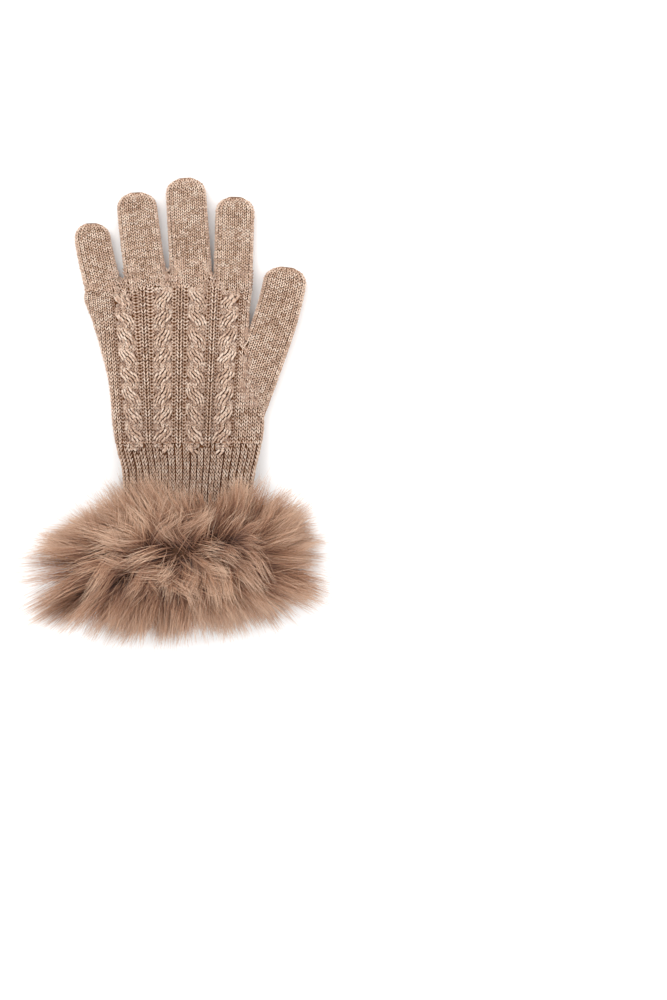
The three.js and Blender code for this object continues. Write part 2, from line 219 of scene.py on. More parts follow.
def fingerSection(finger, distance, squeeze=1.0):
    line, distances, slopes = finger["line"]
    length = distances[-1]
    place = np.clip(distance, 0, length)
    heading = np.array([np.interp(place, distances, slopes[:, i]) for i in (0, 1)])
    heading /= np.linalg.norm(heading)
    centre = np.array([np.interp(place, distances, line[:, i]) for i in (0, 1)]) + heading * min(distance, 0)
    inHand = np.clip(-distance / finger["back"], 0, 1) ** 2
    width = finger["rootWidth"] + (finger["tipWidth"] - finger["rootWidth"]) * place / length
    height = finger["height"] * squeeze * (1 - fingerTip["backHeight"] * inHand)
    return {
        "centre": centre, "heading": heading, "bow": 0.0, "skew": 0.0,
        "halfWidth": width / 2 * squeeze * (1 - fingerTip["backWidth"] * inHand), "height": height,
        "lift": float(liftAt(centre[1])) + (finger["height"] - height) * knit["middleShare"],
    }


for finger in fingers.values():
    finger["line"] = fingerLine(finger)

# The cable panel
cables = {
    "knuckles": [-30.3, -5.7, 15.3, 35.1], "wrist": [-23.7, -5.7, 13.5, 30.3], "slant": [-1, 1, -1, 1],
    "knucklePlace": 74, "wristPlace": -5, "halfWidth": 5.1, "swing": 2.3, "strandHalfWidth": 2.8,
    "crossing": 11.75, "firstCrossing": -16.8, "height": 1.7, "rise": 0.8,
    "ribHalfWidth": 1.4, "ribHeight": 1.0, "grooveDepth": 0.8, "margin": 7.4, "edge": 1, "start": (-34, -26),
    "end": 66, "fades": 9,
}


def cableCentre(i, along):
    share = (along - cables["wristPlace"]) / (cables["knucklePlace"] - cables["wristPlace"])
    return cables["wrist"][i] + (cables["knuckles"][i] - cables["wrist"][i]) * share


def hump(offset, halfWidth):
    return np.where(np.abs(offset) < halfWidth, np.cos(offset / halfWidth * math.pi / 2), 0)


def strandTurn(i, strand, along):
    crossings = (along - cables["firstCrossing"]) / cables["crossing"]
    return math.pi * (0.5 + strand - cables["slant"][i] * crossings)


def panelFade(along):
    upperEnd = smoothStep(cables["end"] + cables["fades"] - along, 0, cables["fades"])
    return upperEnd * smoothStep(along, *cables["start"])


def panelRelief(x, along):
    outside = np.maximum(cableCentre(0, along) - x, x - cableCentre(3, along)) - cables["margin"]
    heights = [cables["grooveDepth"] * smoothStep(outside, -cables["edge"], cables["edge"])]
    for i in range(4):
        for strand in (0, 1):
            turn = strandTurn(i, strand, along)
            crest = cables["height"] + cables["rise"] * np.sin(turn)
            offset = x - cableCentre(i, along) - cables["swing"] * np.cos(turn)
            heights.append(crest * hump(offset, cables["strandHalfWidth"]))
        if i < 3:
            rib = (cableCentre(i, along) + cableCentre(i + 1, along)) / 2
            heights.append(cables["ribHeight"] * hump(x - rib, cables["ribHalfWidth"]))
    return panelFade(along) * (np.max(heights, axis=0) - cables["grooveDepth"])


# A section's whole ring, from the middle of the palm round the left fold, over the top and back.
# It comes with the distance round it at each point.
ringStops = 90
quarter = np.sin(np.linspace(0, math.pi / 2, ringStops))
overTop = -np.cos(np.linspace(0, math.pi, 4 * ringStops))
ringShares = np.concatenate([-quarter[:-1], overTop, quarter[:-1][::-1]])
ringOnTop = np.concatenate([np.zeros(ringStops - 1), np.ones(4 * ringStops), np.zeros(ringStops - 1)]) > 0


def ringOf(section, relief=False, grow=0.0):
    points = sectionPoints(section, ringShares, ringOnTop, grow)
    if relief:
        points[:, 2] += np.where(ringOnTop, panelRelief(points[:, 0], points[:, 1]) * crown(ringShares), 0)
    around = np.concatenate([[0], np.cumsum(np.linalg.norm(np.diff(points, axis=0), axis=1))])
    return points, around


def onRing(ring, around):
    points, distances = ring
    return np.stack([np.interp(around, distances, points[:, i]) for i in range(3)], -1)


# A line over many rings, by its distance round each of them
def lineOver(rings, arounds):
    return np.array([onRing(ring, around) for ring, around in zip(rings, arounds)])


def lengthsOf(rings):
    return np.array([ring[1][-1] for ring in rings])


# Lines half a course further up
def halfOn(*lines):
    return [(line[1:] + line[:-1]) / 2 for line in lines]


# Stitches are gathered as places on the knit, each with its way up, its way across and its size.
class StitchField:
    least = {"wide": 0.5, "tall": 0.3}

    def __init__(self):
        self.rows = {name: [] for name in ("place", "across", "up", "size", "raise", "deep")}

    # One column of stitches, from lines down its two sides and its middle, a point for each course. Its painted shade,
    # from 0 to 1, says how far its stitches lie down in the knit, and darkens their colour that much.
    def column(self, left, middle, right, depth=2.3, lift=0.2, deep=0.0, keep=None):
        place, across, up = middle[1:-1], (right - left)[1:-1], (middle[2:] - middle[:-2]) / 2
        wide, tall = np.linalg.norm(across, axis=1), np.linalg.norm(up, axis=1)
        good = np.isfinite(place).all(1) & np.isfinite(across).all(1) & np.isfinite(up).all(1)
        good &= (wide > self.least["wide"]) & (tall > self.least["tall"])
        if keep is not None:
            good &= keep
        size = np.stack([wide, tall, np.full(len(wide), depth)], -1)
        lift, deep = (np.broadcast_to(value, wide.shape) for value in (lift, deep))
        for rows, values in zip(self.rows.values(), (place, across, up, size, lift, deep)):
            rows.append(values[good])

    def arrays(self):
        return {name: np.concatenate(values) for name, values in self.rows.items()}

    def keepOnly(self, test):
        rows = self.arrays()
        keep = test(rows["place"])
        self.rows = {name: [values[keep]] for name, values in rows.items()}

    def keepAbove(self, line, shift=0.0):
        self.keepOnly(lambda places: places[:, 1] > line(places[:, 0]) + shift)

    def keepBelow(self, line, shift=0.0):
        self.keepOnly(lambda places: places[:, 1] <= line(places[:, 0]) + shift)


# The knit's solids, to leave out stitches that would be inside another piece or off the cloth.
knitNodes = ["hand", "ribbed_wrist"] + list(fingers)


def solidTree(names):
    corners, faces, owners = [], [], []
    for name in names:
        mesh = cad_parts[name].data
        start = len(corners)
        corners += [v.co / mm for v in mesh.vertices]
        faces += [tuple(start + v for v in p.vertices) for p in mesh.polygons]
        owners += [name] * len(mesh.polygons)
    return BVHTree.FromPolygons(corners, faces), owners


knitTree, solidOfFace = solidTree(knitNodes)
onCloth = {"skin": 0.01, "reach": 5.0, "foldReach": 2.2, "flat": 0.8, "below": 2.4, "seam": 0.7, "leastFacing": 0.25,
           "standOff": 0.4, "foldSink": 0.6, "tipSink": 0.8, "foldTurn": (0.15, 0.85), "tipTurn": (0.3, 0.9),
           "uneven": 0.06, "lowShade": 0.14, "shadeEnds": (-30, 20)}


# The outermost face of the cloth over or under a place, along its normal.
def outerFace(place, normal, reach):
    found, start = None, place - normal * onCloth["skin"]
    while True:
        hit = knitTree.ray_cast(start, normal, reach - (start - place).dot(normal))
        if hit[0] is None:
            break
        if hit[1].dot(normal) > 0:
            found = hit
        start = hit[0] + normal * onCloth["skin"]
    if found is None:
        hit = knitTree.ray_cast(place, -normal, onCloth["below"])
        if hit[0] is not None and hit[1].dot(normal) > onCloth["leastFacing"]:
            found = hit
    return found


# Raises places that are inside the cloth onto it, and says which of them lie on the wanted solids.
def seatPlaces(places, normals, ups, wanted):
    seated, keep, rises = places.copy(), np.zeros(len(places), bool), np.zeros(len(places))
    for i, (place, normal, up) in enumerate(zip(places, normals, ups)):
        place, normal, up = Vector(place), Vector(normal).normalized(), Vector(up).normalized() * onCloth["seam"]
        reach = onCloth["reach"] if abs(normal.z) > onCloth["flat"] else onCloth["foldReach"]
        for shift in (Vector(), up, -up, 2 * up, -2 * up):
            hit = outerFace(place + shift, normal, reach)
            if hit is not None:
                rise = (hit[0] - place).dot(normal)
                rise = max(rise, min(rise + onCloth["standOff"], 0))
                seated[i] = place + normal * rise
                keep[i] = solidOfFace[hit[2]] in wanted
                rises[i] = abs(rise)
                break
    return seated, keep, rises


# A mesh of bare points, in metres, for a Geometry Nodes tree to work on. Its attributes are numbers, vectors or turns.
def pointsMesh(name, places, attributes):
    mesh = bpy.data.meshes.new(name)
    mesh.vertices.add(len(places))
    mesh.vertices.foreach_set("co", np.asarray(places, np.float32).ravel())
    kinds = {1: ("FLOAT", "value"), 3: ("FLOAT_VECTOR", "vector"), 4: ("QUATERNION", "value")}
    for label, values in attributes.items():
        kind, field = kinds[values.size // len(values)]
        mesh.attributes.new(label, kind, "POINT").data.foreach_set(field, np.asarray(values, np.float32).ravel())
    return mesh


def unit(vectors):
    return vectors / np.linalg.norm(vectors, axis=1)[:, None]


# The part of each vector that is square to a way of length 1
def beside(vectors, ways):
    return vectors - ways * np.sum(vectors * ways, axis=1)[:, None]


def quaternionsOf(across, up):
    x = unit(across)
    y = unit(beside(up, x))
    z = np.cross(x, y)
    turns = [Matrix(np.stack([a, b, c], -1).tolist()).to_quaternion() for a, b, c in zip(x, y, z)]
    return np.array([tuple(q) for q in turns]), z


# Runs a tree on a mesh of points and leaves its result as a plain mesh object.
def grownPiece(name, mesh, tree, settings):
    source = newObject(name + "_points", mesh)
    modifier = source.modifiers.new("nodes", "NODES")
    modifier.node_group = tree
    sockets = {item.name: item.identifier for item in tree.interface.items_tree if item.in_out == "INPUT"}
    for label, value in settings.items():
        modifier[sockets[label]] = value
    evaluated = source.evaluated_get(bpy.context.evaluated_depsgraph_get())
    made = bpy.data.meshes.new_from_object(evaluated)
    made.name = name
    bpy.data.objects.remove(source)
    return newObject(name, made)


# Materials

def newMaterial(name):
    material = bpy.data.materials.new(name)
    material.use_nodes = True
    material.node_tree.nodes.clear()
    return material, material.node_tree


def attributeOf(tree, name):
    return result(tree, "ShaderNodeAttribute", output="Fac", attribute_name=name)


def placeOn(tree):
    return result(tree, "ShaderNodeTexCoord", output="Object")


# Noise with lumps of a size in millimetres
def noiseOf(tree, size, detail, roughness=0.5):
    return result(tree, "ShaderNodeTexNoise", {
        "Vector": placeOn(tree), "Scale": 1 / (size * mm), "Detail": detail, "Roughness": roughness}, "Fac")


# Colours by the value at which each is reached
def rampOf(tree, value, colours):
    node = addNode(tree, "ShaderNodeValToRGB", {"Fac": value})
    elements = node.color_ramp.elements
    first, *between, last = colours.items()
    for element, (place, colour) in zip(elements, (first, last)):
        element.position, element.color = place, linearColour(colour)
    for place, colour in between:
        elements.new(place).color = linearColour(colour)
    return node.outputs["Color"]


def bumpOf(tree, height, strength, distance):
    return result(tree, "ShaderNodeBump", {"Strength": strength, "Distance": distance * mm, "Height": height})


def addSurface(tree, inputs):
    shader = result(tree, "ShaderNodeBsdfPrincipled", inputs)
    addNode(tree, "ShaderNodeOutputMaterial", {"Surface": shader})


# Cashmere yarn, two plies of undyed brown and fawn fibre: matt, with a soft bloom of fibre ends that lightens
# it at glancing angles, and flecked along each stitch.
yarnLook = {
    "dark": "#936b51", "middle": "#dcbba3", "light": "#feecdb", "shaded": "#6c442a",
    "fleck": 0.8, "heather": 9.0, "fibre": 0.25, "underNext": (0.0, 0.55, 0.5, 1.0),
    "tone": {"base": -0.42, "shade": 0.5, "fleck": 1.1, "heather": 0.24},
}


def yarnMaterial():
    material, tree = newMaterial("marledCashmereYarn")
    weights = yarnLook["tone"]
    tone = calculated(tree, "MULTIPLY_ADD", attributeOf(tree, "shade"), weights["shade"], weights["base"])
    tone = calculated(tree, "MULTIPLY_ADD", noiseOf(tree, yarnLook["fleck"], 2.0, 0.6), weights["fleck"], tone)
    tone = calculated(tree, "MULTIPLY_ADD", noiseOf(tree, yarnLook["heather"], 1.0), weights["heather"], tone)
    colour = rampOf(tree, tone, {0.0: yarnLook["dark"], 0.5: yarnLook["middle"], 1.0: yarnLook["light"]})
    # painted shade: the ends of each leg go under the next stitch and sit in its shade
    shadow = mapped(tree, attributeOf(tree, "tuck"), *yarnLook["underNext"])
    colour = mixed(tree, 1.0, colour, shadow, blend="MULTIPLY")
    # painted shade: stitches that lie down in the knit are darkened towards the shaded yarn colour
    colour = mixed(tree, attributeOf(tree, "deep"), colour, linearColour(yarnLook["shaded"]), blend="MULTIPLY")
    addSurface(tree, {
        "Base Color": colour, "Roughness": 0.92, "IOR": 1.45, "Specular IOR Level": 0.2, "Sheen Weight": 0.25,
        "Sheen Roughness": 0.6, "Normal": bumpOf(tree, noiseOf(tree, yarnLook["fibre"], 2.0), 0.5, 0.12)})
    return material


groundLook = {"lump": 1.6, "course": 2.07, "rows": 0.4, "sunken": "#9a765d", "sunkenFrom": 0.2, "sunkenTo": 0.75}


# The same knit seen between and behind the stitches: yarn darkened with painted shade, with the courses as fine rows.
def groundMaterial(name, dark, light):
    material, tree = newMaterial(name)
    # the texture's own wave is pi / 10 long, so this makes one wave of two courses
    rows = result(tree, "ShaderNodeTexWave", {
        "Vector": placeOn(tree), "Scale": 1 / (groundLook["course"] * mm) / 20 * math.pi, "Distortion": 1.5,
        "Detail": 1.0}, "Fac", wave_type="BANDS", bands_direction="Y")
    height = calculated(tree, "MULTIPLY_ADD", rows, groundLook["rows"], noiseOf(tree, groundLook["lump"], 3.0))
    # its painted shade is darkest where it faces up; at the folds and the tips the stitches are sunk in it, so it is
    # lighter there
    facing = result(tree, "ShaderNodeTexCoord", output="Normal")
    upward = result(tree, "ShaderNodeSeparateXYZ", {0: facing}, "Z")
    aside = mapped(tree, upward, groundLook["sunkenFrom"], groundLook["sunkenTo"], 1.0, 0.0)
    colour = mixed(tree, aside, rampOf(tree, height, {0.3: dark, 0.9: light}), linearColour(groundLook["sunken"]))
    addSurface(tree, {
        "Base Color": colour, "Roughness": 0.95, "Specular IOR Level": 0.15, "Normal": bumpOf(tree, height, 0.8, 0.5)})
    return material


# Long fox-type guard hair, brushed out: brown at the root, fawn along its length and pale at the tip, with a
# soft gloss along the hair.
furLook = {"colours": {0.08: "#33201a", 0.36: "#8b5f48", 0.68: "#bc8d6e", 1.0: "#e2bfa3"}, "uneven": 0.66}


def furMaterial():
    material, tree = newMaterial("longGuardHair")
    shade = calculated(
        tree, "MULTIPLY_ADD", attributeOf(tree, "shade"), furLook["uneven"], -furLook["uneven"] / 2)
    tone = calculated(tree, "ADD", attributeOf(tree, "tipward"), shade)
    addSurface(tree, {
        "Base Color": rampOf(tree, tone, furLook["colours"]), "Roughness": 0.55, "IOR": 1.55,
        "Specular IOR Level": 0.3, "Sheen Weight": 0.15, "Sheen Roughness": 0.5})
    return material


# Dense underfur at the skin: dull, dark and felted.
def underfurMaterial():
    material, tree = newMaterial("feltedUnderfur")
    lumps = noiseOf(tree, 3, 4.0)
    addSurface(tree, {
        "Base Color": rampOf(tree, lumps, {0.3: "#3a261b", 0.75: "#6b4d3b"}), "Roughness": 1.0,
        "Specular IOR Level": 0.1, "Normal": bumpOf(tree, lumps, 1.0, 1.5)})
    return material


yarn = yarnMaterial()
fingerGround = groundMaterial("shadedFingerKnit", "#412613", "#654429")
handGround = groundMaterial("shadedHandKnit", "#3c2110", "#5e3c24")  # darker painted shade, as the panel's relief shades it
seamGround = groundMaterial("joinedKnit", "#7d5b43", "#aa8771")  # lighter, with less painted shade, as it lies just under the stitches
guardHair = furMaterial()
underfur = underfurMaterial()
for name in knitNodes:
    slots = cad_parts[name].data.materials
    slots.clear()
    slots.append(fingerGround if name in fingers else handGround)
print("materials made")


# A new Geometry Nodes tree with named inputs, which are whole numbers where their defaults are
def newTree(name, inputs):
    tree = bpy.data.node_groups.new(name, "GeometryNodeTree")
    tree.interface.new_socket("Geometry", in_out="INPUT", socket_type="NodeSocketGeometry")
    for label, default in inputs.items():
        kind = "NodeSocketInt" if isinstance(default, int) else "NodeSocketFloat"
        tree.interface.new_socket(label, in_out="INPUT", socket_type=kind).default_value = default
    tree.interface.new_socket("Material", in_out="INPUT", socket_type="NodeSocketMaterial")
    tree.interface.new_socket("Geometry", in_out="OUTPUT", socket_type="NodeSocketGeometry")
    return tree, addNode(tree, "NodeGroupInput").outputs


def readBack(tree, name, kind="FLOAT_VECTOR"):
    return result(tree, "GeometryNodeInputNamedAttribute", {"Name": name}, data_type=kind)


def stored(tree, geometry, name, value, domain="POINT"):
    return result(tree, "GeometryNodeStoreNamedAttribute", {"Geometry": geometry, "Name": name, "Value": value},
                  data_type="FLOAT", domain=domain)


def tubeAlong(tree, curve, radius, sides=3, caps=True):
    profile = result(tree, "GeometryNodeCurvePrimitiveCircle", {"Resolution": sides, "Radius": 1.0})
    return result(tree, "GeometryNodeCurveToMesh", {
        "Curve": curve, "Profile Curve": profile, "Scale": radius, "Fill Caps": caps})


# The end of every tree
def finished(tree, given, geometry):
    real = result(tree, "GeometryNodeRealizeInstances", {0: geometry})
    smooth = result(tree, "GeometryNodeSetShadeSmooth", {0: real})
    final = result(tree, "GeometryNodeSetMaterial", {"Geometry": smooth, "Material": given["Material"]})
    addNode(tree, "NodeGroupOutput", {"Geometry": final})
    return tree


# A stitch is two legs of yarn. Each leg leans out as it rises, thins at its ends and goes over the one before.
stitchInputs = {
    "Foot": 0.05, "Shoulder": 0.4, "Foot Height": -0.58, "Shoulder Height": 0.58, "Shoulder Sink": 0.12,
    "Waist": 0.22, "Crest": 0.28, "Yarn Radius": 0.18, "Seed": 1,
}
thinEnds = 0.55


def stitchTree():
    tree, given = newTree("stitches", stitchInputs)

    def point(**ends):
        return result(tree, "ShaderNodeCombineXYZ", ends)

    sink = calculated(tree, "MULTIPLY", given["Shoulder Sink"], -1.0)
    line = result(tree, "GeometryNodeCurveQuadraticBezier", {
        "Resolution": 3, "Start": point(X=given["Foot"], Y=given["Foot Height"]),
        "Middle": point(X=given["Waist"], Z=given["Crest"]),
        "End": point(X=given["Shoulder"], Y=given["Shoulder Height"], Z=sink)})
    along = result(tree, "GeometryNodeSplineParameter", output="Factor")
    arch = calculated(tree, "SINE", calculated(tree, "MULTIPLY", along, math.pi))
    thick = calculated(tree, "MULTIPLY_ADD", arch, 1 - thinEnds, thinEnds)
    thick = calculated(tree, "MULTIPLY", thick, given["Yarn Radius"])
    leg = tubeAlong(tree, stored(tree, line, "tuck", arch), thick)
    other = result(tree, "GeometryNodeTransform", {"Geometry": leg, "Scale": (-1.0, 1.0, 1.0)})
    other = result(tree, "GeometryNodeFlipFaces", {"Mesh": other})
    both = addNode(tree, "GeometryNodeJoinGeometry")
    for part in (leg, other):
        tree.links.new(part, both.inputs[0])
    placed = result(tree, "GeometryNodeInstanceOnPoints", {
        "Points": given["Geometry"], "Instance": both.outputs[0], "Rotation": readBack(tree, "turn", "QUATERNION"),
        "Scale": readBack(tree, "size")})
    chance = result(tree, "FunctionNodeRandomValue", {"Seed": given["Seed"]}, 1, data_type="FLOAT")
    return finished(tree, given, stored(tree, placed, "shade", chance, "INSTANCE"))


stitches = stitchTree()


# Where stitches are on the cloth already. The hand's stitches keep clear of the fingers' and the gusset's.
knittedPlaces = []


def treeOf(places):
    tree = KDTree(len(places))
    for i, place in enumerate(places):
        tree.insert(place, i)
    tree.balance()
    return tree


# Where two stitches were raised onto the same spot, the one that moved less stays.
def thinnedOut(places, keep, rises, apart):
    tree, kept = treeOf(places), keep.copy()
    for i in np.argsort(rises, kind="stable"):
        if kept[i]:
            for _, j, _ in tree.find_range(places[i], apart):
                kept[j] &= j == i
    return kept


def printCount(piece, count, kind):
    piece.data.calc_loop_triangles()
    print(piece.name, count, kind + ",", len(piece.data.loop_triangles), "triangles")


def stitchPiece(name, field, wanted, settings, room=None, apart=None):
    rows = field.arrays()
    turns, normals = quaternionsOf(rows["across"], rows["up"])
    seated, keep, rises = seatPlaces(rows["place"] - gloveMiddle, normals, rows["up"], wanted)
    if apart is not None:
        keep = thinnedOut(seated, keep, rises, apart)
    if room is not None:
        knitted = treeOf(np.concatenate(knittedPlaces))
        keep &= np.array([knitted.find(place)[2] for place in seated]) > room
    knittedPlaces.append(seated[keep])
    # at the folds and the tips stitches are sunk, as they turn away
    sunk = np.maximum(onCloth["foldSink"] * smoothStep(1 - np.abs(normals[:, 2]), *onCloth["foldTurn"]),
                      onCloth["tipSink"] * smoothStep(normals[:, 1], *onCloth["tipTurn"]))
    raised = rows["raise"] - sunk
    # painted shade: the knit is a little darker towards the wrist
    deep = rows["deep"] + onCloth["lowShade"] * smoothStep(-seated[:, 1], *onCloth["shadeEnds"])
    rng = np.random.default_rng(settings["Seed"])
    places = (seated + normals * raised[:, None] + rng.normal(0, onCloth["uneven"], seated.shape))[keep] * mm
    sizes = rows["size"] * (1 + rng.normal(0, onCloth["uneven"], rows["size"].shape))
    mesh = pointsMesh(name, places, {"turn": turns[keep], "size": sizes[keep] * mm, "deep": deep[keep]})
    piece = grownPiece(name, mesh, stitches, {"Material": yarn, **settings})
    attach(piece, "root")
    printCount(piece, int(keep.sum()), "stitches")


# Plain knit fingers

fingerKnit = {"wale": 2.6, "course": 1.65, "start": -14.0, "joined": [1.0, 0.64, 0.34, 0.0]}


# Places and sizes of a finger's courses. They close in over its tip.
def fingerRows(finger, start):
    length = finger["line"][1][-1]
    straightEnd = length - fingerTip["length"]
    count = round((straightEnd - start) / fingerKnit["course"])
    rows = [(distance, 1.0) for distance in np.linspace(start, straightEnd, count, endpoint=False)]
    angle = 0.0
    while angle < math.radians(fingerTip["lastTurn"]):
        rows.append((straightEnd + fingerTip["length"] * math.sin(angle), math.cos(angle)))
        inward = finger["tipWidth"] / 2 * fingerTip["fullness"] * math.sin(angle)
        run = math.hypot(fingerTip["length"] * math.cos(angle), inward)
        angle += fingerKnit["course"] / run
    return rows


# Towards the tip its wales are joined two by two, and then again.
def fingerField(finger, start):
    field = StitchField()
    rows = fingerRows(finger, start)
    rings = [ringOf(fingerSection(finger, distance, squeeze)) for distance, squeeze in rows]
    squeezes = np.array([squeeze for distance, squeeze in rows])[1:-1]
    rootRing = ringOf(fingerSection(finger, 0))
    wales = 4 * round(rootRing[1][-1] / fingerKnit["wale"] / 4)
    lines = [lineOver(rings, lengthsOf(rings) * (j / 2) / wales) for j in range(2 * wales + 1)]
    for level, (most, least) in enumerate(zip(fingerKnit["joined"], fingerKnit["joined"][1:])):
        step = 2 ** level
        inLevel = (squeezes > least) & (squeezes <= most)
        for j in range(0, 2 * wales, 2 * step):
            field.column(lines[j], lines[j + step], lines[j + 2 * step], keep=inLevel)
    return field


gusset = {"reach": 48.0, "top": (42.5, 36.0), "bottom": (51.0, 0.0)}


# The thumb's wales meet the hand's upright ones along a line from the thumb's crotch down to the glove's side.
def overGusset(places):
    (x, top), (side, bottom) = gusset["top"], gusset["bottom"]
    return (places[:, 1] - top) + (places[:, 0] - x) * (top - bottom) / (side - x) > 0


# Where the fingers' knit takes over from the hand's
knuckles = {"x": [-56, -46, -40, -30, -16, 0, 25, 34, 50], "along": [71, 70, 67.5, 67.5, 72, 73.5, 73, 71, 73]}


def knuckleLine(x):
    return np.interp(x, knuckles["x"], knuckles["along"])


for index, (name, finger) in enumerate(fingers.items()):
    field = fingerField(finger, -gusset["reach"] if name == "thumb" else fingerKnit["start"])
    if name == "thumb":
        field.keepOnly(overGusset)
    else:
        field.keepAbove(knuckleLine)
    stitchPiece(name + "_stitches", field, [name, "hand"], {"Seed": 3 + index, "Yarn Radius": 0.195}, apart=1.15)

# The hand: the cable panel on its back, and plain knit from the panel's edges round both folds to the palm
handKnit = {"wale": 2.64, "course": 2.07, "start": -29, "end": 92, "foldHeight": 6.2, "wristEnd": -21, "mostWales": 60}
handPlaces = np.arange(handKnit["start"] - handKnit["course"], handKnit["end"], handKnit["course"])


# The section at a place on the hand, or just over its lower end on the wrist.
def anySection(place):
    if place < handKnit["wristEnd"]:
        return wristSection(place)
    return handSection(min(place, handShape["along"][-1]))


# Past the hand's last section its rings go straight on, up to where the fingers start.
handRings = [ringOf(anySection(place), relief=True) for place in handPlaces]
for ring, place in zip(handRings, handPlaces):
    ring[0][:, 1] += max(place - handShape["along"][-1], 0)
topStops = np.flatnonzero(ringOnTop)


def aroundAt(ring, x):
    return np.interp(x, ring[0][topStops, 0], ring[1][topStops])


# Distances round the hand's rings, from an x on its back at each course
def aroundsAt(xs):
    return np.array([aroundAt(ring, x) for ring, x in zip(handRings, xs)])


def backLine(xs):
    return lineOver(handRings, aroundsAt(xs))


# Plain knit, counted outwards from the panel's two edges.
def plainFields():
    back, palm = StitchField(), StitchField()
    total = lengthsOf(handRings)
    for side, i in ((-1, 0), (1, 3)):
        edge = aroundsAt(cableCentre(i, handPlaces) + side * cables["margin"])
        for j in range(handKnit["mostWales"]):
            lines = []
            for shift in (j, j + 0.5, j + 1):
                around = edge + side * shift * handKnit["wale"]
                line = lineOver(handRings, around)
                line[(around <= 0) | (around >= total)] = np.nan
                lines.append(line)
            if not np.isfinite(lines[1]).any():
                break
            high = lines[1][1:-1, 2] > handKnit["foldHeight"]
            back.column(*lines[::side], keep=high)
            palm.column(*lines[::side], keep=~high)
    return back, palm


# The single rib between two cables, and the purl in the groove on each side of it
# the rib, the arched purl bumps and the margin grooves are darkened with painted shade, each by its own amount
panelKnit = {
    "ribMore": 0.25, "ribLift": 0.35, "ribPaintedShade": 0.08, "cableLess": 0.1, "depth": 2.6, "purlLift": 0.05, "sinks": 1 / 3,
    "archLift": -0.1, "archPaintedShade": 0.3, "edgePaintedShade": 0.15,
}


def ribsAndGrooves(ribs, purl):
    half, edge = cables["ribHalfWidth"] + panelKnit["ribMore"], cables["halfWidth"] - panelKnit["cableLess"]
    depth, centres = panelKnit["depth"], [cableCentre(i, handPlaces) for i in range(4)]

    def groove(near, far, side, deep):
        sunk = deep * panelKnit["sinks"]
        lines = [backLine(near + (far - near) * share) for share in (0, 0.5, 1)][::side]
        purl.column(*lines, depth=depth, lift=panelKnit["purlLift"] - sunk, deep=deep)
        # the bumps that arch the other way, half a course on
        arched = [line[::-1] for line in halfOn(*lines[::-1])]
        purl.column(*arched, depth=depth, lift=panelKnit["archLift"] - sunk, deep=panelKnit["archPaintedShade"] + deep)

    for before, after in zip(centres, centres[1:]):
        rib = (before + after) / 2
        lines = [backLine(rib + side * half) for side in (-1, 0, 1)]
        ribs.column(*lines, depth=depth, lift=panelKnit["ribLift"], deep=panelKnit["ribPaintedShade"])
        groove(rib - half, before + edge, -1, 0)
        groove(rib + half, after - edge, 1, 0)
    for centre, side in ((centres[0], -1), (centres[3], 1)):
        groove(centre + side * edge, centre + side * cables["margin"], side, panelKnit["edgePaintedShade"])


# Columns of stitches on each strand of a cable. They turn with the strand, and pull long where it crosses over
# the other one. Where it goes under, only what stands out beside it is knitted.
cableKnit = {"width": 5.04, "columns": 3, "barColumns": 4, "course": 1.75, "depth": 1.9, "lift": 0.2, "over": 0.8,
             "under": -0.2, "quick": 1.1, "crosses": 0.93, "hidden": 2.7, "deep": 0.1, "underPaintedShade": 0.45,
             "sinks": (0.2, 0.9), "edge": 0.98}


def onBack(x, along):
    section = anySection(along)
    share = np.clip((x - section["centre"][0]) / section["halfWidth"], -cableKnit["edge"], cableKnit["edge"])
    point = sectionPoints(section, share, True)
    point[1] += max(along - handShape["along"][-1], 0)
    point[2] += float(panelRelief(point[0], point[1]))
    return point


def cableColumns(bars, fills):
    places = np.arange(handKnit["start"] - 1, handKnit["end"], cableKnit["course"])
    for i in range(4):
        for strand in (0, 1):
            turn = strandTurn(i, strand, places)
            swayed = np.clip(cableKnit["quick"] * np.cos(turn), -1, 1)
            sway = cableKnit["width"] / 2 * swayed * (1.5 - 0.5 * swayed * swayed)
            centre, other = cableCentre(i, places) + sway, cableCentre(i, places) - sway
            slope = np.gradient(centre, places)
            norm = np.hypot(slope, 1)
            over = np.sin(turn)
            crossing = (over > 0) & (np.abs(swayed) < cableKnit["crosses"])
            lift = cableKnit["lift"] + cableKnit["over"] * np.maximum(over, cableKnit["under"])
            # painted shade: the strand darkens as it goes under the other one
            deep = cableKnit["deep"] + cableKnit["underPaintedShade"] * smoothStep(-over, *cableKnit["sinks"])
            for field, chosen, count in ((bars, crossing, "barColumns"), (fills, ~crossing, "columns")):
                columns = cableKnit[count]
                for k in range(columns):
                    lines = []
                    for d in (k, k + 0.5, k + 1):
                        offset = (d / columns - 0.5) * cableKnit["width"]
                        xs, ys = centre + offset / norm, places - offset * slope / norm
                        lines.append(np.array([onBack(x, y) for x, y in zip(xs, ys)]))
                    seen = (over >= 0) | (np.abs(lines[1][:, 0] - other) > cableKnit["hidden"])
                    field.column(*lines, cableKnit["depth"], lift[1:-1], deep[1:-1], (seen & chosen)[1:-1])


# The ribbed wrist: ribs of two knit columns, with a column of purl down in each valley. They go on from the panel
# above, four to each cable. What the fur hides is left out, apart from the rim.
# the purl down in each valley is darkened with painted shade
wristKnit = {"course": 2.15, "ribs": 38, "toCable": 4, "column": 0.215, "columnShare": 0.41, "valleyShare": 0.24,
             "start": -23.0, "firstCourse": 0.6, "coursesOver": 4, "hidden": (-95.0, -70.0), "ribsOver": 1.8,
             "valleysOver": -0.5, "ribLift": 0.45, "valley": {"depth": 1.8, "lift": -0.4, "deep": 0.9}}


